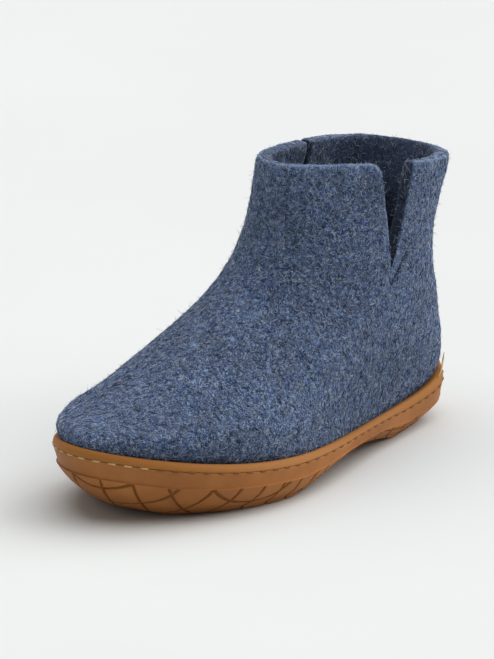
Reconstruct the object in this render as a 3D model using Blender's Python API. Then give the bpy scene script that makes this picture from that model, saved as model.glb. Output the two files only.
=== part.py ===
# Felt ankle slipper boot for the left foot: a hollow felt upper, a moulded rubber cup sole, a felt insole.
# The toe points to -Y, the outer side of the foot to +X and up is +Z. The sole stands on z = 0.
from collections import namedtuple

import bmesh
import bpy
import numpy as np
from mathutils import Matrix, Vector

# Driving dimensions in millimetres, and the length of one in metres
MM = 0.001
FELT_WALL = 7.5          # thickness of the felted wool
RUBBER_OUT = 5.0         # from the felt to the widest line of the sole
LIP_EDGE = 1.5           # thickness of the lip at its top edge
FIT_GAP = 0.35           # clearance between two pieces
INSOLE_THICK = 5.0

# Heel tab, a peak of the lip at the back
TAB_RISE = 5.5
TAB_LEAN = 1.8
TAB_SPREAD = 12.0        # degrees to each side
TAB_STAGE = 1.72         # the tab grows out of the section above this stage

# Grid of the felt and the sole: columns around the foot, and steps up the sole's inner wall
QUARTER_COLUMNS = 20
COLUMNS = 4 * QUARTER_COLUMNS
INNER_WALL_STEPS = 5
COLLAR_ROUNDING = (45, 135)   # degrees around the collar's edge, from its outer to its inner side
SHARP_ANGLE = 40
DIFFERENCE = 1e-4             # step of the numerical derivatives
HEIGHT_SAMPLES = 90

# Stations around the foot, in degrees from the tip of the toe to the back of the heel
STATIONS = {"tip": 0, "toe": 30, "ball": 75, "waist": 105, "heel": 150, "back": 180}
WIDTH_STATIONS = ("toe", "ball", "waist", "heel")
SECTION_STATIONS = ("tip", "ball", "waist", "back")

# Lines along the sole: sideways place of the middle, height of the lip's top and of the underside (0 at
# least), and the step's share of the height between these two
Line = namedtuple("Line", STATIONS)
CENTRE_LINE = Line(tip=0.5, toe=-1, ball=6, waist=4, heel=-2, back=0)
RIM_LINE = Line(tip=40, toe=35.5, ball=22.7, waist=19.3, heel=22.5, back=26.5)
GROUND_LINE = Line(tip=4, toe=2, ball=-0.9, waist=8, heel=-0.4, back=14)
STEP_LINE = Line(tip=0.60, toe=0.60, ball=0.55, waist=0.49, heel=0.45, back=0.45)

# Outer surface of the felt, a row for each section from the sole's floor to the collar:
# front and back ends, heights at front, middle and back, half widths, share of the centre line, grid steps
LastRow = namedtuple("LastRow", "front back z_front z_mid z_back toe ball waist heel sway steps")
LAST = {
    "bed":     LastRow(-116.0, 122.5,  22.0,  13.0,  17.0, 25.0, 45.0, 36.0, 22.5, 1.0, 4),
    "feather": LastRow(-128.5, 131.3,  38.0,  28.5,  30.0, 29.0, 48.5, 37.0, 26.2, 1.0, 3),
    "dome":    LastRow(-126.0, 131.6,  46.0,  42.0,  43.0, 30.5, 47.5, 39.0, 28.0, 0.9, 3),
    "toe top": LastRow(-103.5, 129.2,  53.0,  54.0,  57.0, 28.0, 43.5, 41.0, 27.4, 0.8, 3),
    "vamp":    LastRow( -66.5, 126.4,  68.5,  68.0,  73.5, 23.5, 40.5, 41.0, 26.0, 0.6, 3),
    "instep":  LastRow( -23.0, 122.0,  90.5,  86.5,  92.0, 19.0, 38.0, 40.5, 23.5, 0.4, 4),
    "ankle":   LastRow(   2.0, 122.0, 117.0, 112.5, 115.0, 17.5, 36.5, 39.5, 22.5, 0.3, 4),
    "collar":  LastRow(  11.5, 131.5, 152.5, 147.0, 139.0, 16.5, 33.0, 38.0, 23.0, 0.3, 0),
}
ROW_NAMES = list(LAST)
FEATHER = ROW_NAMES.index("feather")
COLLAR = ROW_NAMES.index("collar")
HIGHEST_RIM = ROW_NAMES.index("vamp")

# Side slits: the foot lies at a quarter turn on this level, and the two edges reach the collar at these y
SLIT_FOOT = ROW_NAMES.index("instep") + 0.5
Slit = namedtuple("Slit", "front back")
OUTER_SLIT = Slit(front=56.5, back=77)
INNER_SLIT = Slit(front=68, back=73.5)

# Section of the rubber from the ground to the lip: stage of the height, and inset from the widest line.
# The stage is 1 at the step and 2 at the lip's top
SectionRow = namedtuple("SectionRow", "stage tip ball waist back")
SECTION = {
    "ground edge":    SectionRow(0.00,  30.0, 16.0, 12.0, 19.0),
    "hull turn":      SectionRow(0.09,  24.0, 10.0,  8.0, 15.0),
    "hull low":       SectionRow(0.31,  17.5,  5.8,  5.0, 11.5),
    "hull side":      SectionRow(0.62,  10.0,  2.6,  2.4,  7.8),
    "hull high":      SectionRow(0.91,   5.3,  0.5,  0.6,  4.8),
    "hull top":       SectionRow(1.00,   4.2,  0.0,  0.2,  4.0),
    "step":           SectionRow(1.045,  4.9,  0.9,  1.0,  4.4),
    "band top":       SectionRow(1.655,  2.0,  0.5,  0.6,  2.6),
    "stitch channel": SectionRow(1.69,   2.8,  1.4,  1.4,  3.3),
    "lip foot":       SectionRow(1.73,   1.8,  0.9,  0.9,  2.7),
    "lip":            SectionRow(1.88,   1.8,  1.9,  1.9,  3.0),
    "lip edge":       SectionRow(2.00,   2.9,  3.2,  3.2,  3.8),
}

# Looks of each piece: colour, roughness
FELT_LOOK = ("Blue-grey felted wool", "#4A5A78", 0.95)
RUBBER_LOOK = ("Honey gum rubber", "#A9703F", 0.55)
INSOLE_LOOK = ("Dark felted wool", "#333F55", 0.95)


def cosine_series(values, stations, angles):
    # Reads the cosine series that passes through the values at the named stations
    orders = np.arange(len(values))
    degrees = [STATIONS[name] for name in stations]
    weights = np.linalg.solve(np.cos(np.outer(np.radians(degrees), orders)), np.array(values, float))
    return np.cos(np.multiply.outer(angles, orders)) @ weights


def along_line(line, angles):
    return cosine_series(line, STATIONS, angles)


def last_row(levels):
    # Columns of the last's table between its rows, by a Catmull-Rom curve through each column
    rows = np.array(list(LAST.values()), float)
    before = 2 * rows[0] - rows[1]
    after = 2 * rows[-1] - rows[-2]
    rows = np.vstack([before, rows, after])
    low = np.clip(np.floor(levels).astype(int), 0, COLLAR - 1)
    part = (levels - low)[..., None]
    p0, p1, p2, p3 = (rows[low + shift] for shift in range(4))
    bend = 2 * p0 - 5 * p1 + 4 * p2 - p3
    twist = 3 * p1 - p0 - 3 * p2 + p3
    columns = 0.5 * (2 * p1 + (p2 - p0) * part + bend * part**2 + twist * part**3)
    return LastRow(*np.moveaxis(columns, -1, 0))


def half_width(row, angles):
    # Width of a ring at each angle, before its sine: a cosine series through the four width stations
    stations = np.radians([STATIONS[name] for name in WIDTH_STATIONS])
    orders = np.arange(len(stations))
    swings = np.stack([getattr(row, name) for name in WIDTH_STATIONS], -1) / np.sin(stations)
    weights = swings @ np.linalg.inv(np.cos(np.outer(stations, orders))).T
    return (weights * np.cos(angles[..., None] * orders)).sum(-1)


def ring_height(row, angles):
    level = (row.z_front + 2 * row.z_mid + row.z_back) / 4
    tilt = (row.z_front - row.z_back) / 2
    sag = (row.z_front - 2 * row.z_mid + row.z_back) / 4
    return level + tilt * np.cos(angles) + sag * np.cos(2 * angles)


def felt_point(angles, levels):
    # Point of the felt's outer surface at an angle around the foot and a level in rows of the last
    angles, levels = np.broadcast_arrays(np.asarray(angles, float), np.asarray(levels, float))
    row = last_row(levels)
    x = row.sway * along_line(CENTRE_LINE, angles) + half_width(row, angles) * np.sin(angles)
    y = (row.front + row.back) / 2 - (row.back - row.front) / 2 * np.cos(angles)
    return np.stack([x, y, ring_height(row, angles)], -1)


def unit(vectors):
    return vectors / np.linalg.norm(vectors, axis=-1, keepdims=True)


def felt_around(angles, levels):
    return felt_point(angles + DIFFERENCE, levels) - felt_point(angles - DIFFERENCE, levels)


def felt_up(angles, levels):
    return felt_point(angles, levels + DIFFERENCE) - felt_point(angles, levels - DIFFERENCE)


def felt_normal(angles, levels):
    return unit(np.cross(felt_around(angles, levels), felt_up(angles, levels)))


def plan_normal(angles, levels):
    # Level direction that points out of the shoe, square to the ring at that level
    return unit(np.cross(felt_around(angles, levels) * (1, 1, 0), (0, 0, 1)))


def level_at_height(angles, heights):
    # Level of the last at which each column of the felt reaches a height
    samples = np.linspace(0, HIGHEST_RIM, HEIGHT_SAMPLES)
    found = [np.interp(height, felt_point(np.full(HEIGHT_SAMPLES, angle), samples)[:, 2], samples)
             for angle, height in zip(angles, heights)]
    return np.array(found)


def floor_height(y):
    # Height of the sole's floor, which is the same straight across the foot
    row = LAST["bed"]
    turn = ((row.front + row.back) / 2 - y) / ((row.back - row.front) / 2)
    return ring_height(row, np.arccos(np.clip(turn, -1, 1))) - FIT_GAP


def column_angles():
    return np.arange(COLUMNS) * 2 * np.pi / COLUMNS


def grid_levels():
    # Levels of the felt's rows, and the place of the slit's foot among them
    levels = []
    for index, row in enumerate(LAST.values()):
        levels += [index + step / row.steps for step in range(row.steps)]
    levels.append(COLLAR)
    return levels, levels.index(SLIT_FOOT)


def slit_edge_angle(level, edge_y):
    # Angle of a slit's edge, which runs straight from the slit's foot to its place on the collar
    share = max(0.0, (level - SLIT_FOOT) / (COLLAR - SLIT_FOOT))
    foot_y = felt_point(np.pi / 2, SLIT_FOOT)[1]
    y = foot_y + (edge_y - foot_y) * share
    row = last_row(np.asarray(level, float))
    turn = ((row.front + row.back) / 2 - y) / ((row.back - row.front) / 2)
    return np.arccos(turn)


def flap_angles(level):
    # Angles of the columns in front of the slits and behind them; below the slits their ends meet
    if level <= SLIT_FOOT:
        edges = [np.pi / 2] * 4
    else:
        slit_ends = (OUTER_SLIT.front, INNER_SLIT.front, OUTER_SLIT.back, INNER_SLIT.back)
        edges = [slit_edge_angle(level, y) for y in slit_ends]
    shares = np.linspace(0, 1, QUARTER_COLUMNS + 1)
    inner_front = -edges[1] * shares[:0:-1]
    outer_front = edges[0] * shares
    outer_back = np.pi - (np.pi - edges[2]) * shares[::-1]
    inner_back = np.pi + (np.pi - edges[3]) * shares[1:]
    return np.concatenate([inner_front, outer_front]), np.concatenate([outer_back, inner_back])


class Skin:
    # Collects the points and faces of one closed surface
    def __init__(self):
        self.points = []
        self.faces = []

    def add(self, points):
        first = len(self.points)
        self.points.extend(points)
        return list(range(first, len(self.points)))

    def bridge(self, lower, upper):
        # Quads between two open rows of points
        for i in range(len(lower) - 1):
            self.faces.append((lower[i], lower[i + 1], upper[i + 1], upper[i]))

    def bridge_rings(self, lower, upper):
        self.bridge(lower + lower[:1], upper + upper[:1])

    def close_across(self, ring):
        # Strips straight across a ring that starts at the toe, each from the outer to the inner side
        half = len(ring) // 2
        mirrored = [ring[0]] + ring[:half - 1:-1]
        for i in range(half):
            corners = (ring[i], ring[i + 1], mirrored[i + 1], mirrored[i])
            self.faces.append(tuple(dict.fromkeys(corners)))

    def to_object(self, name, look):
        mesh = bpy.data.meshes.new(name)
        mesh.from_pydata([Vector(point) * MM for point in self.points], [], self.faces)
        solid = bmesh.new()
        solid.from_mesh(mesh)
        bmesh.ops.recalc_face_normals(solid, faces=solid.faces)
        solid.to_mesh(mesh)
        solid.free()
        mesh.shade_smooth()
        mesh.set_sharp_from_angle(angle=np.radians(SHARP_ANGLE))
        mesh.materials.append(make_material(*look))
        shape = bpy.data.objects.new(name, mesh)
        bpy.context.scene.collection.objects.link(shape)
        return shape


def linear_colour(hex_colour):
    channels = [int(hex_colour[i:i + 2], 16) / 255 for i in (1, 3, 5)]
    linear = [c / 12.92 if c <= 0.04045 else ((c + 0.055) / 1.055) ** 2.4 for c in channels]
    return (*linear, 1)


def make_material(name, hex_colour, roughness):
    material = bpy.data.materials.new(name)
    material.use_nodes = True
    shader = material.node_tree.nodes["Principled BSDF"]
    shader.inputs["Base Color"].default_value = linear_colour(hex_colour)
    shader.inputs["Roughness"].default_value = roughness
    shader.inputs["Metallic"].default_value = 0
    return material


def inner_point(angles, level):
    # Point of the felt's inner surface, which stands on the floor at the lowest level
    points = felt_point(angles, level) - FELT_WALL * felt_normal(angles, level)
    if level == 0:
        points[:, 2] = floor_height(points[:, 1]) + FIT_GAP
    return points


def collar_point(angles, degrees):
    # Point of the collar's rounded edge, turned from the outer side over the top to the inner side
    turn = np.radians(degrees)
    normal = felt_normal(angles, COLLAR)
    middle = felt_point(angles, COLLAR) - FELT_WALL / 2 * normal
    return middle + FELT_WALL / 2 * (np.cos(turn) * normal + np.sin(turn) * unit(felt_up(angles, COLLAR)))


def make_upper():
    # Two grids a wall apart, joined at the floor, at the collar and along the edges of the slits
    skin = Skin()
    levels, slit_foot = grid_levels()

    def add_flaps(level, surface):
        front, back = flap_angles(level)
        front_row = skin.add(surface(front, level))
        if level > SLIT_FOOT:
            return front_row, skin.add(surface(back, level))
        return front_row, [front_row[-1]] + skin.add(surface(back[1:-1], level)) + [front_row[0]]

    outer = [add_flaps(level, felt_point) for level in levels]
    inner = [add_flaps(level, inner_point) for level in levels]
    edge = [add_flaps(COLLAR, lambda angles, level, turn=turn: collar_point(angles, turn))
            for turn in COLLAR_ROUNDING]
    for flap in (0, 1):
        for grid in (outer, inner):
            for lower, upper in zip(grid, grid[1:]):
                skin.bridge(lower[flap], upper[flap])
        skin.bridge(outer[0][flap], inner[0][flap])
        over = [outer[-1][flap]] + [row[flap] for row in edge] + [inner[-1][flap]]
        for one, other in zip(over, over[1:]):
            skin.bridge(one, other)
        for end in (0, -1):
            outer_edge = [row[flap][end] for row in outer[slit_foot:]]
            inner_edge = [row[flap][end] for row in inner[slit_foot:]]
            skin.bridge(outer_edge, inner_edge)
            skin.faces.append(tuple(row[end] for row in over))
    return skin.to_object("upper", FELT_LOOK)


def tab_share(angles, stage):
    # How far the heel tab has grown at an angle and a stage of the section
    bell = np.exp(-((angles - np.pi) / np.radians(TAB_SPREAD)) ** 2)
    return bell * max(0.0, stage - TAB_STAGE) / (2 - TAB_STAGE)


def height_share(stage, angles):
    # Share of the height from the underside to the lip's top
    step = along_line(STEP_LINE, angles)
    return stage * step if stage <= 1 else step + (stage - 1) * (1 - step)


def section_ring(row, angles):
    # One ring of the sole's outer surface
    normal = plan_normal(angles, FEATHER)
    ground = np.maximum(along_line(GROUND_LINE, angles), 0)
    tab = tab_share(angles, row.stage)
    inset = cosine_series(row[1:], SECTION_STATIONS, angles)
    points = felt_point(angles, FEATHER) + normal * (RUBBER_OUT - inset + TAB_LEAN * tab)[:, None]
    rise = height_share(row.stage, angles) * (along_line(RIM_LINE, angles) - ground)
    points[:, 2] = ground + rise + TAB_RISE * tab
    return points


def inner_wall_rings(lip, angles):
    # Rings down the sole's inner wall, from the lip's edge to the floor, a gap outside the felt
    top = lip[:, 2]
    floor = felt_point(angles, 0)[:, 2] - FIT_GAP
    rings = []
    for step in range(INNER_WALL_STEPS + 1):
        heights = top + (floor - top) * step / INNER_WALL_STEPS
        levels = level_at_height(angles, heights)
        felt = felt_point(angles, levels)
        normal = plan_normal(angles, levels)
        room = ((lip - felt) * normal).sum(-1)
        away = np.maximum(FIT_GAP, room - LIP_EDGE) if step == 0 else np.full(len(angles), FIT_GAP)
        points = felt + normal * away[:, None]
        points[:, 2] = heights
        rings.append(points)
    return rings


def make_outsole():
    skin = Skin()
    angles = column_angles()
    outside = [section_ring(row, angles) for row in SECTION.values()]
    rings = [skin.add(points) for points in outside + inner_wall_rings(outside[-1], angles)]
    for lower, upper in zip(rings, rings[1:]):
        skin.bridge_rings(lower, upper)
    skin.close_across(rings[0])
    skin.close_across(rings[-1])
    return skin.to_object("outsole", RUBBER_LOOK)


def make_insole():
    # A felt pad on the floor, a gap inside the upper's lower edge
    skin = Skin()
    angles = column_angles()
    outline = inner_point(angles, 0) - FIT_GAP * plan_normal(angles, 0)
    outline[:, 2] = floor_height(outline[:, 1]) + FIT_GAP
    lower = skin.add(outline)
    upper = skin.add(outline + (0, 0, INSOLE_THICK))
    skin.bridge_rings(lower, upper)
    skin.close_across(lower)
    skin.close_across(upper)
    return skin.to_object("insole", INSOLE_LOOK)


def stand_over_origin(shapes):
    # Moves the pieces together, so that the middle of the shoe's box lies over the origin
    corners = np.array([vertex.co for shape in shapes for vertex in shape.data.vertices])
    middle = (corners.min(0) + corners.max(0)) / 2
    for shape in shapes:
        shape.data.transform(Matrix.Translation((-middle[0], -middle[1], 0)))


def main():
    for old in list(bpy.data.objects):
        bpy.data.objects.remove(old, do_unlink=True)
    stand_over_origin([make_upper(), make_outsole(), make_insole()])


main()
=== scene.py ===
import math

import bpy
import numpy as np
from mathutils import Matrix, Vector, noise
from mathutils.bvhtree import BVHTree


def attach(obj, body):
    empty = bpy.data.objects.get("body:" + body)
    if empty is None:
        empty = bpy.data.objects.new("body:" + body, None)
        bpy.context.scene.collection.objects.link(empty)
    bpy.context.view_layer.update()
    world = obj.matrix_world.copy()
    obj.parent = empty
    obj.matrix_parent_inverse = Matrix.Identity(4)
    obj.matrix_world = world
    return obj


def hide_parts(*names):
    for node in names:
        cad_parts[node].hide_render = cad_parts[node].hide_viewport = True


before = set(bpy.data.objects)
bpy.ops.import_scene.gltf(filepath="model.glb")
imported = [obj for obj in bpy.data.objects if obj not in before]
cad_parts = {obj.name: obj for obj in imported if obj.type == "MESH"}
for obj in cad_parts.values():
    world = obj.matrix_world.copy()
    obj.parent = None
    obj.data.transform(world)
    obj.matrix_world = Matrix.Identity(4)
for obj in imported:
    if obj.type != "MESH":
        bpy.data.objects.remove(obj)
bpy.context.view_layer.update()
print("frame loaded:", sorted(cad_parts))

mm = 0.001


def linear(hexColour):  # sRGB hex to the linear colour that a shader takes
    channels = [int(hexColour[i:i + 2], 16) / 255 for i in (1, 3, 5)]
    return [*(c / 12.92 if c <= 0.04045 else ((c + 0.055) / 1.055) ** 2.4 for c in channels), 1]


def perMetre(sizeMm):  # scale of a pattern whose features are this many millimetres apart
    return 1 / (sizeMm * mm)


def addNode(tree, kind, inputs=None, stops=None, **settings):  # a value is set, a socket is linked
    made = tree.nodes.new(kind)
    for name, value in settings.items():
        setattr(made, name, value)
    for name, value in (inputs or {}).items():
        if isinstance(value, bpy.types.NodeSocket):
            tree.links.new(value, made.inputs[name])
        else:
            made.inputs[name].default_value = value
    for i, (place, hexColour) in enumerate(stops or []):
        stop = made.color_ramp.elements[i] if i < 2 else made.color_ramp.elements.new(place)
        stop.position = place
        stop.color = linear(hexColour)
    return made


def newMaterial(name):  # with its node tree, its shader and the coordinates that its patterns lie in
    material = bpy.data.materials.new(name)
    material.use_nodes = True
    tree = material.node_tree
    place = tree.nodes.new("ShaderNodeTexCoord").outputs["Object"]
    return material, tree, tree.nodes["Principled BSDF"], place


def onlySelect(piece):
    bpy.ops.object.select_all(action="DESELECT")
    piece.select_set(True)
    bpy.context.view_layer.objects.active = piece


mergeGap = 0.01 * mm
quadAngles = ((2, 30), (4, 40), (8, 45), (12, 50), (20, 60), (40, 80))  # face and shape, flattest pairs first


# A CAD node's mesh as a new piece, its loose triangles merged and paired to quads
def copyOfNode(nodeName, name):
    piece = bpy.data.objects.new(name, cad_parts[nodeName].data.copy())
    piece.data.name = name
    piece.data.materials.clear()
    bpy.context.scene.collection.objects.link(piece)
    onlySelect(piece)
    bpy.ops.object.mode_set(mode="EDIT")
    bpy.ops.mesh.select_all(action="SELECT")
    bpy.ops.mesh.customdata_custom_splitnormals_clear()
    bpy.ops.mesh.remove_doubles(threshold=mergeGap)
    for faceAngle, shapeAngle in quadAngles:
        bpy.ops.mesh.tris_convert_to_quads(
            face_threshold=math.radians(faceAngle), shape_threshold=math.radians(shapeAngle))
    bpy.ops.object.mode_set(mode="OBJECT")
    return piece


def newPiece(name, points, faces):
    mesh = bpy.data.meshes.new(name)
    mesh.from_pydata([tuple(point) for point in points], [], faces)
    piece = bpy.data.objects.new(name, mesh)
    bpy.context.scene.collection.objects.link(piece)
    return piece


def turnFacesOut(piece):
    onlySelect(piece)
    bpy.ops.object.mode_set(mode="EDIT")
    bpy.ops.mesh.select_all(action="SELECT")
    bpy.ops.mesh.normals_make_consistent(inside=False)
    bpy.ops.object.mode_set(mode="OBJECT")


def creaseSharpEdges(piece, angle, crease):  # keeps a cut or moulded edge from being rounded away
    onlySelect(piece)
    bpy.ops.object.mode_set(mode="EDIT")
    bpy.ops.mesh.select_mode(type="EDGE")
    bpy.ops.mesh.select_all(action="DESELECT")
    bpy.ops.mesh.edges_select_sharp(sharpness=math.radians(angle))
    bpy.ops.transform.edge_crease(value=crease)
    bpy.ops.object.mode_set(mode="OBJECT")


def smoothOut(piece, levels):  # rounds a piece, and keeps its surface on the points that it had
    onlySelect(piece)
    modifier = piece.modifiers.new("rounded", "SUBSURF")
    modifier.levels = modifier.render_levels = levels
    given = vertexArray(piece)
    rounded = vertexArray(piece.evaluated_get(bpy.context.evaluated_depsgraph_get()))[:len(given)]
    moveVertices(piece, 2 * given - rounded)
    bpy.ops.object.modifier_apply(modifier="rounded")


def vertexArray(piece, field="co"):
    values = np.zeros(len(piece.data.vertices) * 3)
    source = piece.data.vertex_normals if field == "normal" else piece.data.vertices
    source.foreach_get("vector" if field == "normal" else "co", values)
    return values.reshape(-1, 3)


def moveVertices(piece, points):
    piece.data.vertices.foreach_set("co", np.asarray(points, np.float32).ravel())
    piece.data.update()


def paintVertices(piece, name, values):  # one number for each vertex, which the material reads by this name
    layer = piece.data.attributes.new(name, "FLOAT", "POINT")
    layer.data.foreach_set("value", np.asarray(values, np.float32))


def finishPiece(piece, material, nodeName=None):
    piece.data.materials.clear()
    piece.data.materials.append(material)
    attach(piece, "root")
    if nodeName:
        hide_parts(nodeName)
    piece.data.calc_loop_triangles()
    print(piece.name, "has", len(piece.data.loop_triangles), "triangles")


def surfaceOf(piece):
    piece.data.calc_loop_triangles()
    points = [vertex.co for vertex in piece.data.vertices]
    return BVHTree.FromPolygons(points, [triangle.vertices[:] for triangle in piece.data.loop_triangles])


# Rings of points around the CAD sole, from its ground edge over the lip to its floor
def soleRings(node):
    loose = np.array([vertex.co for vertex in node.data.vertices])
    points, index = np.unique(loose.round(6), axis=0, return_inverse=True)  # to a thousandth of a mm
    triangles = index.ravel()[np.array([polygon.vertices[:] for polygon in node.data.polygons])]
    corners = points[triangles]
    normals = np.cross(corners[:, 1] - corners[:, 0], corners[:, 2] - corners[:, 0])
    level = 0.85  # how far up the faces of the floor point
    facesUp = normals[:, 2] > level * np.linalg.norm(normals, axis=1)
    middle = np.where(facesUp, np.linalg.norm(corners.mean(1)[:, :2], axis=1), np.inf).argmin()
    floor = np.zeros(len(points), bool)
    floor[triangles[middle]] = True
    while True:  # spreads over the floor
        grown = facesUp & floor[triangles].any(1)
        if floor[triangles[grown]].all():
            break
        floor[triangles[grown]] = True
    rings, seen = [np.flatnonzero(floor)], floor.copy()
    while True:  # then up the inner wall and down the outside, ring by ring
        touching = triangles[np.isin(triangles, rings[-1]).any(1)]
        ring = np.unique(touching[~seen[touching]])
        if not len(ring):
            break
        seen[ring] = True
        rings.append(ring)
    rings.reverse()
    thirds = {}
    for triangle in triangles.tolist():
        for i in range(3):
            thirds.setdefault(frozenset((triangle[i], triangle[i - 1])), []).append(triangle[i - 2])

    def walkRound(ring):  # from the back of the heel round the outer side
        members = set(ring.tolist())
        path = [max(members, key=lambda i: points[i][1])]
        while len(path) < len(members):
            sides = [i for i in members if frozenset((i, path[-1])) in thirds and i not in path]
            path.append(max(sides, key=lambda i: points[i][0]) if len(path) == 1 else sides[0])
        return path

    def nextRing(path, ring):  # the ring beside an ordered one, in the same order of columns
        members = set(ring.tolist())
        beside = [max(members, key=lambda i: points[i][1])]
        for here, there in zip(path, path[1:]):
            last = beside[-1]
            across = [i for i in thirds[frozenset((here, there))] if i in members and i != last]
            beside += across or [i for i in thirds[frozenset((there, last))] if i in members][:1]
        return beside

    start = len(rings) // 2
    ordered = {start: walkRound(rings[start])}
    for i in range(start + 1, len(rings)):
        ordered[i] = nextRing(ordered[i - 1], rings[i])
    for i in range(start - 1, -1, -1):
        ordered[i] = nextRing(ordered[i + 1], rings[i])
    return np.array([points[ordered[i]] for i in range(len(rings))])


soleGrid = soleRings(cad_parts["outsole"])
hullTop, stitchChannel, lipEdge = 5, 8, 11  # rows of the sole's section
print("sole grid", soleGrid.shape)


def lipHeightAt(points):  # height of the lip beside each point, from the nearest place on its edge
    lip = soleGrid[lipEdge]
    gaps = np.linalg.norm(points[:, None, :2] - lip[None, :, :2], axis=2)
    return lip[gaps.argmin(1), 2]


def rampUp(values, start, width):  # 0 up to the start, then rising to 1 over this width
    return np.clip((values - start) / width, 0, 1)


# Felted wool upper: the CAD solid, rounded, with the soft swell of hand-felted wool and a dart pressed in
# below the outer slit. Lengths are in mm.
feltUpper = {
    "levels": 2,
    "sharpAngle": 60,  # an edge sharper than this is a cut edge, degrees
    "slitEdge": 0.4,  # crease of the cut edges
    "swells": ((34, 0.55), (9, 0.28), (4, 0.16)),  # size and height of the felt's unevenness
    "swellFade": 8,  # height above the lip over which it sets in
    "legLine": ((-4.5, -100, 30), (-4.5, 66, 36), (-4.5, 68, 170)),  # runs inside the shoe
    "dart": ((35.3, 48.2, 100.6), (37.7, 55.2, 90), (36.7, 66.6, 103)),  # pressed V below the outer slit
    "dartDepth": 1.7,
    "dartWidth": 0.9,
    "dartReach": 9,  # the mesh is finer this near to it
    "dartCuts": 3,
    "slitCorners": ((55.2, -1, 4.5), (75.7, 1, 2.0)),  # y, way into the flap, rounding at the collar
    "cornerMiddle": 6,  # place along the flap, half length and depth of what the rounding moves
    "cornerHalf": 8,
    "cornerDepth": 9,
    "collarHeight": 151,
    "slitMiddle": 62,  # y, half length and foot of the stretch that the slits cut
    "slitHalf": 24,
    "slitFoot": 92,
    "cutFace": (0.72, 0.15),  # a slit's face points along the shoe: start and width of the ramp
    "highlightRim": (120, 20),  # height at which the rim's painted highlight sets in, and over which it grows
    "highlightTilt": (1.4, 0.1),  # it lies on faces that point up, towards the light: slope and start
    "dartShade": 0.95,  # painted shade: share of the felt's deepest tone in the dart, inside, and along the lip with dirt
    "insideShade": 0.7,
    "lipShade": 0.3,
}


def alongLines(points, corners):  # distance to a bent line, and the nearest point on it
    best = np.full(len(points), np.inf)
    nearest = np.zeros_like(points)
    for start, end in zip(corners, corners[1:]):
        start, end = np.array(start) * mm, np.array(end) * mm
        run = end - start
        share = np.clip((points - start) @ run / (run @ run), 0, 1)
        place = start + share[:, None] * run
        gap = np.linalg.norm(points - place, axis=1)
        closer = gap < best
        best, nearest = np.where(closer, gap, best), np.where(closer[:, None], place, nearest)
    return best, nearest


def makeFeltUpper(facts):
    piece = copyOfNode("upper", "feltUpper")
    creaseSharpEdges(piece, facts["sharpAngle"], facts["slitEdge"])
    smoothOut(piece, facts["levels"])
    # A finer mesh around the dart
    bpy.ops.object.mode_set(mode="EDIT")
    bpy.ops.mesh.select_mode(type="VERT")
    bpy.ops.mesh.select_all(action="DESELECT")
    bpy.ops.object.mode_set(mode="OBJECT")
    reach, _ = alongLines(vertexArray(piece), facts["dart"])
    piece.data.vertices.foreach_set("select", reach < facts["dartReach"] * mm)
    bpy.ops.object.mode_set(mode="EDIT")
    bpy.ops.mesh.subdivide(number_cuts=facts["dartCuts"])
    bpy.ops.object.mode_set(mode="OBJECT")

    points, normals = vertexArray(piece), vertexArray(piece, "normal")
    _, core = alongLines(points, facts["legLine"])
    outside = ((points - core) * normals).sum(1) > 0
    clear = rampUp(points[:, 2] - lipHeightAt(points), 0, facts["swellFade"] * mm)
    # The swell, the dart pressed in and the slit's corners rounded at the collar
    move = np.zeros(len(points))
    for sizeMm, heightMm in facts["swells"]:
        wave = np.array([noise.noise(Vector(point) * perMetre(sizeMm)) for point in points])
        move += wave * heightMm * mm
    move *= clear
    gap, _ = alongLines(points, facts["dart"])
    pressed = outside * np.exp(-(gap / (facts["dartWidth"] * mm)) ** 2)
    move -= pressed * facts["dartDepth"] * mm
    sink = np.zeros(len(points))
    rim = rampUp(points[:, 2] / mm, facts["collarHeight"] - facts["cornerDepth"], facts["cornerDepth"])
    for edge, way, rounding in facts["slitCorners"]:
        into = np.clip(way * (points[:, 1] / mm - edge), 0, rounding)
        drop = rounding - np.sqrt(rounding ** 2 - (rounding - into) ** 2)
        fromMiddle = np.abs(points[:, 1] / mm - edge - way * facts["cornerMiddle"])
        nearSlit = (fromMiddle < facts["cornerHalf"]) & (points[:, 0] > 0)
        sink += np.where(nearSlit, drop * rim * mm, 0)
    alongShoe = np.abs(points[:, 1] - facts["slitMiddle"] * mm)
    inSlit = (alongShoe < facts["slitHalf"] * mm) & (points[:, 2] > facts["slitFoot"] * mm)
    cutFace = inSlit * rampUp(np.abs(normals[:, 1]), *facts["cutFace"])
    moveVertices(piece, points + move[:, None] * normals - sink[:, None] * np.array((0, 0, 1)))
    # The painted highlight on the rim's up-facing faces and the painted shade that the material reads
    normals = vertexArray(piece, "normal")
    slope, start = facts["highlightTilt"]
    top = rampUp(points[:, 2] / mm, *facts["highlightRim"]) * np.clip(normals[:, 2] * slope - start, 0, 1)
    paintVertices(piece, "paintedRimHighlight", top)
    # Painted shade: darker in the dart's crease, inside the shoe and on the slits' cut faces, whose felt is
    # also denser; painted shade and dirt along the lip
    paintedShadeAndDirt = np.maximum(facts["dartShade"] * pressed, cutFace)
    paintedShadeAndDirt = paintedShadeAndDirt + facts["insideShade"] * ~outside + facts["lipShade"] * (1 - clear)
    paintVertices(piece, "paintedShadeAndDirt", np.clip(paintedShadeAndDirt, 0, 1))
    onlySelect(piece)
    bpy.ops.object.shade_smooth()
    return piece, outside


upperPiece, upperOutside = makeFeltUpper(feltUpper)


# Felted melange wool: dyed fibres of several blues and greys matted together. Matt, no gloss, with a soft
# pale sheen where the nap is seen from the side. The pattern is drawn coarser than the real fibres, which
# are too fine to show.
feltPattern = {  # mm between features, and the depth of the nap
    "cloud": 26,
    "tufts": 1.6,
    "strands": 2.6,
    "paleCurl": 3.6,
    "darkCurl": 4.4,
    "napDepth": 0.7,
}


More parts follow.
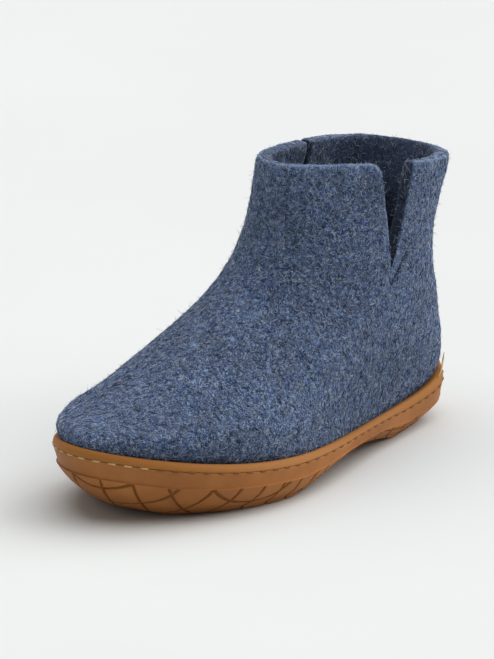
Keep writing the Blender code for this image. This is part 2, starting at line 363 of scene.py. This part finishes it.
def feltMaterial(name, deep, mid, light, greyer):
    material, tree, shader, place = newMaterial(name)
    cloud = addNode(tree, "ShaderNodeTexNoise", {
        "Vector": place, "Scale": perMetre(feltPattern["cloud"]), "Detail": 2})
    tufts = addNode(tree, "ShaderNodeTexNoise", {
        "Vector": place, "Scale": perMetre(feltPattern["tufts"]),
        "Detail": 5, "Roughness": 0.62, "Distortion": 1.6})
    strands = addNode(tree, "ShaderNodeTexNoise", {
        "Vector": place, "Scale": perMetre(feltPattern["strands"]),
        "Detail": 4, "Roughness": 0.6, "Distortion": 2.5})
    tone = addNode(tree, "ShaderNodeValToRGB", {"Fac": tufts.outputs["Fac"]}, stops=(
        (0.37, deep[0]), (0.455, deep[1]), (0.51, mid), (0.565, light[0]), (0.645, light[1])))
    grey = addNode(tree, "ShaderNodeValToRGB", {"Fac": tufts.outputs["Fac"]}, stops=(
        (0.38, greyer[0]), (0.51, greyer[1]), (0.64, greyer[2])))
    share = addNode(tree, "ShaderNodeMapRange", {
        "Value": strands.outputs["Fac"], "From Min": 0.42, "From Max": 0.62, "To Max": 0.8})
    fibres = addNode(tree, "ShaderNodeMix", {
        0: share.outputs["Result"], 6: tone.outputs["Color"], 7: grey.outputs["Color"]}, data_type="RGBA")
    curls = (  # where the pattern is moved to, its size, colour and share
        ((0, 0, 0), feltPattern["paleCurl"], light[1], 0.55),
        ((7, 3, 5), feltPattern["darkCurl"], deep[0], 0.6))
    for shift, size, hexColour, strength in curls:
        moved = addNode(tree, "ShaderNodeVectorMath", {0: place, 1: shift}, operation="ADD")
        curl = addNode(tree, "ShaderNodeTexNoise", {
            "Vector": moved.outputs[0], "Scale": perMetre(size), "Detail": 2, "Distortion": 1.4})
        off = addNode(tree, "ShaderNodeMath", {0: curl.outputs["Fac"], 1: 0.5}, operation="SUBTRACT")
        near = addNode(tree, "ShaderNodeMath", {0: off.outputs[0]}, operation="ABSOLUTE")
        hair = addNode(tree, "ShaderNodeMapRange", {
            "Value": near.outputs[0], "From Max": 0.035, "To Min": strength, "To Max": 0})
        fibres = addNode(tree, "ShaderNodeMix", {
            0: hair.outputs["Result"], 6: fibres.outputs[2], 7: linear(hexColour)}, data_type="RGBA")
    patch = addNode(tree, "ShaderNodeMapRange", {
        "Value": cloud.outputs["Fac"], "From Min": 0.3, "From Max": 0.7, "To Min": 0.78, "To Max": 1.18})
    shaded = addNode(tree, "ShaderNodeMix", {
        0: 1.0, 6: fibres.outputs[2], 7: patch.outputs["Result"]}, data_type="RGBA", blend_type="MULTIPLY")
    # Painted highlight: the collar rim's up-facing faces are mixed towards the pale fibre tone
    edge = addNode(tree, "ShaderNodeAttribute", attribute_name="paintedRimHighlight")
    rimHighlightShare = addNode(tree, "ShaderNodeMath", {0: edge.outputs["Fac"], 1: 0.45}, operation="MULTIPLY")
    paintedLightAndDirt = addNode(tree, "ShaderNodeMix", {
        0: rimHighlightShare.outputs[0], 6: shaded.outputs[2], 7: linear(light[1])}, data_type="RGBA")
    # Painted shade: darker in the dart, on the slits' cut faces, inside the shoe, and along the lip with its
    # dirt
    paintedShadeAndDirt = addNode(tree, "ShaderNodeAttribute", attribute_name="paintedShadeAndDirt")
    paintedLightAndDirt = addNode(tree, "ShaderNodeMix", {
        0: paintedShadeAndDirt.outputs["Fac"], 6: paintedLightAndDirt.outputs[2], 7: linear(deep[0])}, data_type="RGBA")
    height = addNode(tree, "ShaderNodeMath", {
        0: tufts.outputs["Fac"], 1: strands.outputs["Fac"]}, operation="ADD")
    nap = addNode(tree, "ShaderNodeBump", {
        "Height": height.outputs[0], "Strength": 0.9, "Distance": feltPattern["napDepth"] * mm})
    tree.links.new(paintedLightAndDirt.outputs[2], shader.inputs["Base Color"])
    tree.links.new(nap.outputs["Normal"], shader.inputs["Normal"])
    shader.inputs["Roughness"].default_value = 0.95
    shader.inputs["Specular IOR Level"].default_value = 0.15
    shader.inputs["Sheen Weight"].default_value = 0.32
    shader.inputs["Sheen Roughness"].default_value = 0.6
    shader.inputs["Sheen Tint"].default_value = linear("#b9c4d8")
    return material


woolFelt = feltMaterial(
    "Blue-grey melange wool felt", ("#161f31", "#283b5b"), "#3d598a", ("#5b7bb2", "#8da3c6"),
    ("#211f1d", "#575d60", "#a9ada8"))
finishPiece(upperPiece, woolFelt, "upper")


# Felt insole: the CAD pad with softened edges and an uneven, slightly trodden top
feltInsole = {
    "levels": 2,
    "swellSize": 12,  # size and height of its unevenness, mm
    "swellHeight": 0.5,
    "trodden": 0.6,  # how far the whole top is sunk, in heights
}


def makeFeltInsole(facts):
    piece = copyOfNode("insole", "feltInsole")
    smoothOut(piece, facts["levels"])
    points, normals = vertexArray(piece), vertexArray(piece, "normal")
    wave = np.array([noise.noise(Vector(point) * perMetre(facts["swellSize"])) for point in points])
    sunk = np.clip(normals[:, 2], 0, 1) * (wave - facts["trodden"]) * facts["swellHeight"] * mm
    moveVertices(piece, points + sunk[:, None] * normals)
    for name in ("paintedRimHighlight", "paintedShadeAndDirt"):  # neither a painted rim highlight nor painted shade
        paintVertices(piece, name, np.zeros(len(points)))
    onlySelect(piece)
    bpy.ops.object.shade_smooth()
    return piece


insolePiece = makeFeltInsole(feltInsole)
insoleFelt = feltMaterial(
    "Dark wool felt insole", ("#171e2b", "#222c3f"), "#303d55", ("#425070", "#66728a"),
    ("#1c2129", "#3d434f", "#6d747f"))
finishPiece(insolePiece, insoleFelt, "insole")


# Gum rubber sole: the CAD sole, rounded, with a net of moulded grooves under and around its hull
rubberSole = {
    "levels": 2,
    "crispRows": {4: 0.2, 5: 0.42, 6: 0.42, 7: 0.36, 8: 0.3, 9: 0.36, 11: 0.36, 12: 0.36},  # crease by row
    "arcCentre": (109.0, -78.3),  # the arcs of the net, mm
    "arcStart": 129.0,
    "lineTurn": 21.5,  # its straight lines, degrees from +X and mm
    "lineStart": -117.8,
    "spacings": (15.76, 11.2),  # of its arcs and lines, mm
    "mirrorAt": 5,  # the net is mirrored behind this y, mm
    "shoulder": 1.7,  # half widths of the rounded edges, of the groove and of its bottom, mm
    "grooveTop": 0.8,
    "grooveFoot": 0.45,
    "edgeDrop": 0.15,  # how deep the edges and the bottom lie, mm
    "grooveDepth": 0.75,
    "smoothAngle": 35,  # edges sharper than this stay crisp, degrees
}


def acrossNet(points, facts):  # distances from the first arc and from the first line of the net
    x = points[:, 0]
    y = facts["mirrorAt"] * mm - np.abs(points[:, 1] - facts["mirrorAt"] * mm)
    turn = math.radians(facts["lineTurn"])
    arc = np.hypot(x - facts["arcCentre"][0] * mm, y - facts["arcCentre"][1] * mm) - facts["arcStart"] * mm
    line = y * math.cos(turn) - x * math.sin(turn) - facts["lineStart"] * mm
    return np.column_stack([arc, line])


def makeRubberSole(facts):
    rows, columns = soleGrid.shape[:2]
    faces = []
    for row in range(rows - 1):
        for i in range(columns):
            j = (i + 1) % columns
            here, there = row * columns, (row + 1) * columns
            faces.append((here + i, here + j, there + j, there + i))
    half = columns // 2
    for row in (0, rows - 1):  # the underside and the floor, straight across the foot
        for i in range(half):
            corners = (i, i + 1, (columns - i - 1) % columns, (columns - i) % columns)
            faces.append(tuple(row * columns + corner for corner in dict.fromkeys(corners)))
    piece = newPiece("rubberSole", soleGrid.reshape(-1, 3), faces)
    crease = piece.data.attributes.new("crease_edge", "FLOAT", "EDGE")
    for edge in piece.data.edges:
        row, otherRow = (vertex // columns for vertex in edge.vertices)
        if row == otherRow:
            crease.data[edge.index].value = facts["crispRows"].get(row, 0)
    hull = piece.vertex_groups.new(name="hull")
    hull.add(list(range((hullTop + 1) * columns)), 1, "REPLACE")
    lip = piece.vertex_groups.new(name="lip")
    lip.add(list(range((stitchChannel + 1) * columns, (lipEdge + 2) * columns)), 1, "REPLACE")
    turnFacesOut(piece)
    smoothOut(piece, facts["levels"])
    piece.vertex_groups.active = piece.vertex_groups["hull"]
    bpy.ops.object.mode_set(mode="EDIT")
    bpy.ops.mesh.select_mode(type="VERT")
    bpy.ops.object.mode_set(mode="OBJECT")
    # The net is cut with straight planes while the sole lies unrolled by its distances, then it goes back
    home = vertexArray(piece)
    homeLayer = piece.data.attributes.new("home", "FLOAT_VECTOR", "POINT")
    homeLayer.data.foreach_set("vector", home.astype(np.float32).ravel())
    unrolled = np.column_stack([acrossNet(home, facts), home[:, 2]])
    moveVertices(piece, unrolled)
    bpy.ops.object.mode_set(mode="EDIT")
    cuts = [side * facts[width] for side in (-1, 1) for width in ("shoulder", "grooveTop", "grooveFoot")]
    onPlane = 0.001 * mm  # points as near as this count as on the plane
    for axis, spacing in enumerate(facts["spacings"]):
        reach = unrolled[:, axis] / (spacing * mm)
        first, last = int(round(reach.min())), int(round(reach.max()))
        normal = (1 - axis, axis, 0)
        for line in range(first, last + 1):
            for cut in cuts:
                away = (line * spacing + cut) * mm
                bpy.ops.mesh.select_all(action="DESELECT")
                bpy.ops.object.vertex_group_select()
                bpy.ops.mesh.bisect(
                    plane_co=(normal[0] * away, normal[1] * away, 0), plane_no=normal, threshold=onPlane)
    bpy.ops.object.mode_set(mode="OBJECT")
    across = vertexArray(piece)[:, :2] / (np.array(facts["spacings"]) * mm)
    nearest = (np.abs((across + 0.5) % 1 - 0.5) * facts["spacings"]).min(1) * mm
    back = np.zeros(3 * len(piece.data.vertices), np.float32)
    piece.data.attributes["home"].data.foreach_get("vector", back)
    moveVertices(piece, back)
    piece.data.attributes.remove(piece.data.attributes["home"])
    points, normals = vertexArray(piece), vertexArray(piece, "normal")
    weights = {name: np.zeros(len(points)) for name in ("hull", "lip")}
    for vertex in piece.data.vertices:
        for entry in vertex.groups:
            weights[piece.vertex_groups[entry.group].name][vertex.index] = entry.weight
    spare = 0.01 * mm  # how far a cut's points may be off
    onHull = np.clip(weights["hull"] * 2 - 1, 0, 1)
    inGroove = (nearest < facts["grooveFoot"] * mm + spare) * onHull
    onEdge = (nearest < facts["grooveTop"] * mm + spare) * onHull - inGroove
    drop = inGroove * facts["grooveDepth"] + onEdge * facts["edgeDrop"]
    points = points - (drop * mm)[:, None] * normals
    points[:, 2] = np.maximum(points[:, 2], 0)  # nothing sinks below the floor
    moveVertices(piece, points)
    piece.vertex_groups.clear()
    # the groove bottoms, which the material paints with shade
    paintVertices(piece, "grooveShade", inGroove)
    paintVertices(piece, "lip", weights["lip"])
    onlySelect(piece)
    bpy.ops.object.shade_smooth_by_angle(angle=math.radians(facts["smoothAngle"]))
    return piece


solePiece = makeRubberSole(rubberSole)


# Moulded gum rubber: honey brown and satin, yellower on the lip that faces up; painted shade, dark amber, in
# its grooves
def rubberMaterial():
    material, tree, shader, place = newMaterial("Honey gum rubber, moulded")
    cloud = addNode(tree, "ShaderNodeTexNoise", {"Vector": place, "Scale": perMetre(22), "Detail": 3})
    grain = addNode(tree, "ShaderNodeTexNoise", {"Vector": place, "Scale": perMetre(0.9), "Detail": 2})
    base = addNode(tree, "ShaderNodeValToRGB", {"Fac": cloud.outputs["Fac"]}, stops=(
        (0.30, "#975f31"), (0.52, "#a36937"), (0.72, "#ad723e")))
    lip = addNode(tree, "ShaderNodeAttribute", attribute_name="lip")
    lipped = addNode(tree, "ShaderNodeMix", {
        0: lip.outputs["Fac"], 6: base.outputs["Color"], 7: linear("#a0682f")}, data_type="RGBA")
    # Painted shade: the groove bottoms turn dark amber
    grooveShade = addNode(tree, "ShaderNodeAttribute", attribute_name="grooveShade")
    grooveShaded = addNode(tree, "ShaderNodeMix", {
        0: grooveShade.outputs["Fac"], 6: lipped.outputs[2], 7: linear("#7c4a17")}, data_type="RGBA")
    satin = addNode(tree, "ShaderNodeMapRange", {
        "Value": cloud.outputs["Fac"], "To Min": 0.5, "To Max": 0.64})
    skin = addNode(tree, "ShaderNodeBump", {
        "Height": grain.outputs["Fac"], "Strength": 0.25, "Distance": 0.12 * mm})
    tree.links.new(grooveShaded.outputs[2], shader.inputs["Base Color"])
    tree.links.new(satin.outputs["Result"], shader.inputs["Roughness"])
    tree.links.new(skin.outputs["Normal"], shader.inputs["Normal"])
    shader.inputs["IOR"].default_value = 1.5
    shader.inputs["Specular IOR Level"].default_value = 0.2
    return material


finishPiece(solePiece, rubberMaterial(), "outsole")


# Sewing thread: stitches along the channel under the lip, pale round the toe and along the sides painted
# darker as the shade in the channel, and a loose end at the back of the heel
sewing = {
    "pitch": 8.0,  # from stitch to stitch, and the length of one, mm
    "length": 4.6,
    "thread": 0.45,  # radius, mm
    "proud": 0.35,  # how far the thread's middle stands off the mouth of the channel, in thread radii
    "dive": 2.4,  # how deep a stitch's ends go, in thread radii
    "taper": 0.5,  # how much thinner they get
    "toeEnd": -113,  # the pale stitches lie in front of this y, mm
    "rounds": 6,  # sides of a thread, and rings along a stitch
    "steps": 7,
    "loose": (  # column of the sole's grid, then out and up from the lip, mm
        (6.5, 0.1, 0.2), (5.5, 0.5, 0.7), (4.6, 0.9, 1.8), (4.0, 1.6, 3.8), (3.8, 2.4, 6.3)),
    "heelMiddle": 70,  # y that the loose end points away from, mm
}


def addThread(points, faces, spine, radii, rounds):  # a closed tube along a row of points
    rings = []
    for i, (spot, radius) in enumerate(zip(spine, radii)):
        tangent = (spine[min(i + 1, len(spine) - 1)] - spine[max(i - 1, 0)]).normalized()
        side = tangent.cross(Vector((0, 0, 1))).normalized()
        lift = side.cross(tangent)
        first = len(points)
        for step in range(rounds):
            turn = 2 * math.pi * step / rounds
            points.append(spot + (side * math.cos(turn) + lift * math.sin(turn)) * radius)
        rings.append(list(range(first, first + rounds)))
    for one, other in zip(rings, rings[1:]):
        for i in range(rounds):
            j = (i + 1) % rounds
            faces.append((one[i], one[j], other[j], other[i]))
    faces.append(tuple(rings[0][::-1]))
    faces.append(tuple(rings[-1]))


def makeThreads(facts):
    bed = soleGrid[stitchChannel]
    mouth = (soleGrid[stitchChannel - 1] + soleGrid[stitchChannel + 1]) / 2
    outward = (mouth - bed) / np.linalg.norm(mouth - bed, axis=1, keepdims=True)
    track = np.hstack([mouth, outward])
    track = np.vstack([track, track[:1]])
    runs = np.concatenate([[0], np.cumsum(np.linalg.norm(np.diff(track[:, :3], axis=0), axis=1))])
    count = int(runs[-1] / (facts["pitch"] * mm))
    shares = np.linspace(-0.5, 0.5, facts["steps"])
    thread = facts["thread"] * mm
    sets = {"toeStitches": ([], []), "sideStitches": ([], []), "looseThread": ([], [])}
    for stitch in range(count):
        middle = (stitch + 0.5) * runs[-1] / count
        places = middle + shares * facts["length"] * mm
        path = np.column_stack([np.interp(places, runs, column) for column in track.T])
        rises = (facts["proud"] - facts["dive"] * (2 * shares) ** 4) * thread
        spine = [Vector(spot[:3]) + Vector(spot[3:]) * rise for spot, rise in zip(path, rises)]
        name = "toeStitches" if path[:, 1].mean() < facts["toeEnd"] * mm else "sideStitches"
        addThread(*sets[name], spine, thread * (1 - facts["taper"] * (2 * shares) ** 6), facts["rounds"])
    lip = soleGrid[lipEdge]
    spine = []
    for column, out, up in facts["loose"]:
        spot = Vector([np.interp(column, range(len(lip)), lip[:, axis]) for axis in range(3)])
        away = Vector((spot.x, spot.y - facts["heelMiddle"] * mm, 0)).normalized()
        spine.append(spot + away * out * mm + Vector((0, 0, up * mm)))
    addThread(*sets["looseThread"], spine, [thread] * (len(spine) - 1) + [thread / 2], facts["rounds"])
    made = []
    for name, (points, faces) in sets.items():
        piece = newPiece(name, points, faces)
        turnFacesOut(piece)
        bpy.ops.object.shade_smooth()
        made.append(piece)
    return made


# Waxed polyester sewing thread: twisted, low gloss
def threadMaterial(name, dark, pale):
    material, tree, shader, place = newMaterial(name)
    twist = addNode(tree, "ShaderNodeTexNoise", {"Vector": place, "Scale": perMetre(0.8), "Detail": 2})
    colour = addNode(tree, "ShaderNodeValToRGB", {"Fac": twist.outputs["Fac"]}, stops=(
        (0.35, dark), (0.65, pale)))
    lay = addNode(tree, "ShaderNodeBump", {
        "Height": twist.outputs["Fac"], "Strength": 0.4, "Distance": 0.1 * mm})
    tree.links.new(colour.outputs["Color"], shader.inputs["Base Color"])
    tree.links.new(lay.outputs["Normal"], shader.inputs["Normal"])
    shader.inputs["Roughness"].default_value = 0.7
    return material


toeStitches, sideStitches, looseThread = makeThreads(sewing)
creamThread = threadMaterial("Cream sewing thread", "#ab8a58", "#d3b484")
finishPiece(toeStitches, creamThread)
finishPiece(looseThread, creamThread)
# Painted shade: the side stitches are the same thread, coloured darker for the shade in the channel
finishPiece(sideStitches, threadMaterial("Sewing thread in painted shade", "#5c3913", "#7a4e20"))


# Loose wool hairs on the felt: matted flat, a few standing off. Drawn about five times as thick as a real
# hair, which is too fine to show. Lengths are in mm.
woolHairs = {
    "paleWoolHairs": {"count": 15500, "length": (1.6, 5.0), "radius": 0.085, "fly": 0.9, "seed": 11},
    "blueWoolHairs": {"count": 16000, "length": (1.8, 5.5), "radius": 0.085, "fly": 0.45, "seed": 23},
    "looseWoolHairs": {"count": 5000, "length": (2.5, 6.0), "radius": 0.08, "fly": 2.4, "seed": 53},
    "darkWoolHairs": {"count": 15500, "length": (1.8, 5.5), "radius": 0.09, "fly": 0.3, "seed": 37},
}
hairHabits = {
    "belowLip": 0.5,  # hairs grow from this far below the lip's edge
    "insideFrom": 105,  # and inside the collar from this height on, more thinly
    "insideShare": 0.5,
    "bend": 0.22,  # spread of their curves, per mm
    "flySpread": (0.5, 0.6),  # shape and scale: most lie flat and few stand far off
    "lift": (0.03, 0.16),  # of a hair's middle
    "tuck": 2.4,  # how much lower its ends lie
    "spots": (-0.5, -0.17, 0.17, 0.5),  # points along a hair, in lengths
}


def growHairs(name, facts, habits, felt, outside):
    rng = np.random.default_rng(facts["seed"])
    felt.data.calc_loop_triangles()
    triangles = np.array([triangle.vertices[:] for triangle in felt.data.loop_triangles])
    points = vertexArray(felt)
    corners = points[triangles]
    crossed = np.cross(corners[:, 1] - corners[:, 0], corners[:, 2] - corners[:, 0])
    areas = np.linalg.norm(crossed, axis=1) / 2
    centres = corners.mean(1)
    above = centres[:, 2] > lipHeightAt(centres) - habits["belowLip"] * mm
    within = (centres[:, 2] > habits["insideFrom"] * mm) * habits["insideShare"]
    shown = np.where(outside[triangles].all(1), above, within)
    chances = areas * shown
    # The draws stay in this order, so that the hairs stay the same
    picked = rng.choice(len(triangles), facts["count"], p=chances / chances.sum())
    mix = rng.dirichlet((1, 1, 1), facts["count"])
    roots = (corners[picked] * mix[:, :, None]).sum(1)
    lengths = rng.uniform(*facts["length"], facts["count"]) * mm
    turns = rng.uniform(0, 2 * math.pi, facts["count"])
    bends = rng.normal(0, habits["bend"], facts["count"]) / mm
    flies = facts["fly"] * rng.gamma(*habits["flySpread"], facts["count"]) * mm
    lifts = rng.uniform(*habits["lift"], facts["count"]) * mm
    surface = surfaceOf(felt)
    size = facts["radius"] * mm
    allPoints, allFaces = [], []
    for root, length, turn, bend, fly, lift in zip(roots, lengths, turns, bends, flies, lifts):
        root = Vector(root)
        normal = surface.find_nearest(root)[1]
        along = normal.orthogonal().normalized()
        along = along * math.cos(turn) + normal.cross(along) * math.sin(turn)
        beside = normal.cross(along)
        spine, ups = [], []
        for share in habits["spots"]:
            run = share * length
            hit, up, _, _ = surface.find_nearest(root + along * run + beside * (bend * run * run))
            rise = lift * (1 - habits["tuck"] * abs(share)) + fly * (share + 0.5) ** 2
            spine.append(hit + up * rise)
            ups.append(up)
        first = len(allPoints)  # a spindle with two three-sided rings and pointed ends
        allPoints.append(spine[0])
        for i in (1, 2):
            tangent = (spine[i + 1] - spine[i - 1]).normalized()
            side = tangent.cross(ups[i]).normalized()
            allPoints.append(spine[i] + ups[i] * size)
            allPoints.append(spine[i] + side * size - ups[i] * size * 0.5)
            allPoints.append(spine[i] - side * size - ups[i] * size * 0.5)
        allPoints.append(spine[3])
        a, b, c, d, e, f, g, h = range(first, first + 8)
        allFaces += [(a, b, c), (a, c, d), (a, d, b)]
        allFaces += [(b, e, f, c), (c, f, g, d), (d, g, e, b)]
        allFaces += [(h, f, e), (h, g, f), (h, e, g)]
    piece = newPiece(name, allPoints, allFaces)
    turnFacesOut(piece)
    bpy.ops.object.shade_smooth()
    return piece


# Single wool fibres of one dye lot: matt, each hair a little lighter or darker than the next
def hairMaterial(name, dark, mid, light):
    material, tree, shader, place = newMaterial(name)
    lot = addNode(tree, "ShaderNodeTexNoise", {"Vector": place, "Scale": perMetre(2.2), "Detail": 2})
    colour = addNode(tree, "ShaderNodeValToRGB", {"Fac": lot.outputs["Fac"]}, stops=(
        (0.34, dark), (0.5, mid), (0.66, light)))
    tree.links.new(colour.outputs["Color"], shader.inputs["Base Color"])
    shader.inputs["Roughness"].default_value = 0.9
    shader.inputs["Specular IOR Level"].default_value = 0.2
    return material


hairMaterials = {
    "paleWoolHairs": hairMaterial("Pale wool fibre", "#7d8faa", "#9cabc1", "#cad3dd"),
    "looseWoolHairs": hairMaterial("Grey wool fibre", "#5f6c84", "#8894a8", "#b9c1cc"),
    "blueWoolHairs": hairMaterial("Blue wool fibre", "#3d5288", "#4f679e", "#7389b6"),
    "darkWoolHairs": hairMaterial("Dark wool fibre", "#14110f", "#1a212e", "#2c384c"),
}
for hairName, hairFacts in woolHairs.items():
    hairs = growHairs(hairName, hairFacts, hairHabits, upperPiece, upperOutside)
    finishPiece(hairs, hairMaterials[hairName])


# Studio: a pale paper floor, soft light from above, from the right and a little from the left, and the camera
# at the photo's angle
studio = {
    "floorSize": 14,  # m, and so are the distance and the aim
    "azimuth": 41.9,
    "elevation": 17.0,
    "distance": 2.2,
    "aim": (-0.008, -0.004, 0.070),
    "pixelsPerMm": 1.98,  # of the shoe in the picture
    "imageHeight": 659,
    "sensor": 36,  # mm
    "roomLight": 0.17,  # what the room's pale walls throw on the shoe, and how bright they look themselves
    "wallLight": 1.0,
    "clipEnd": 100,
    # azimuth and elevation of each softbox, how wide it looks from the shoe, in degrees, and its strength
    "lamps": {
        "topLight": (170, 72, 90, 2.85),
        "rightLight": (146, 36, 60, 1.3),
        "leftLight": (-50, 30, 60, 0.35),
    },
}


def awayFrom(azimuth, elevation):
    turn, rise = math.radians(azimuth), math.radians(elevation)
    return Vector((math.sin(turn) * math.cos(rise), -math.cos(turn) * math.cos(rise), math.sin(rise)))


def setUpStudio(facts):
    bpy.ops.mesh.primitive_plane_add(size=facts["floorSize"], location=(0, 0, 0))
    floor = bpy.context.object
    floor.name = "studioFloor"
    material, tree, shader, place = newMaterial("Pale studio paper")
    fibre = addNode(tree, "ShaderNodeTexNoise", {"Vector": place, "Scale": perMetre(300), "Detail": 2})
    paper = addNode(tree, "ShaderNodeValToRGB", {"Fac": fibre.outputs["Fac"]}, stops=(
        (0.3, "#d3d5d4"), (0.7, "#d6d8d7")))
    tree.links.new(paper.outputs["Color"], shader.inputs["Base Color"])
    shader.inputs["Roughness"].default_value = 0.9
    floor.data.materials.append(material)

    aim = Vector(facts["aim"])
    for name, (azimuth, elevation, width, strength) in facts["lamps"].items():
        lamp = bpy.data.lights.new(name, "SUN")
        lamp.angle = math.radians(width)
        lamp.energy = strength
        light = bpy.data.objects.new(name, lamp)
        back = awayFrom(azimuth, elevation)
        light.location = aim + back
        light.rotation_euler = back.to_track_quat("Z", "Y").to_euler()
        bpy.context.scene.collection.objects.link(light)
    world = bpy.data.worlds.new("studioRoom")
    world.use_nodes = True
    room = world.node_tree
    seen = addNode(room, "ShaderNodeLightPath")
    strength = addNode(room, "ShaderNodeMapRange", {
        "Value": seen.outputs["Is Camera Ray"], "To Min": facts["roomLight"], "To Max": facts["wallLight"]})
    room.nodes["Background"].inputs["Color"].default_value = linear("#f0f2f1")
    room.links.new(strength.outputs["Result"], room.nodes["Background"].inputs["Strength"])
    bpy.context.scene.world = world
    bpy.context.scene.view_settings.view_transform = "Standard"

    camera = bpy.data.objects.new("camera", bpy.data.cameras.new("camera"))
    back = awayFrom(facts["azimuth"], facts["elevation"])
    camera.location = aim + back * facts["distance"]
    camera.rotation_euler = back.to_track_quat("Z", "Y").to_euler()
    camera.data.sensor_width = facts["sensor"]
    farPixels = facts["pixelsPerMm"] * facts["distance"] / mm  # pixels that the camera's distance would fill
    camera.data.lens = farPixels * facts["sensor"] / facts["imageHeight"]
    camera.data.clip_end = facts["clipEnd"]
    bpy.context.scene.collection.objects.link(camera)
    bpy.context.scene.camera = camera


setUpStudio(studio)
print("studio set up")
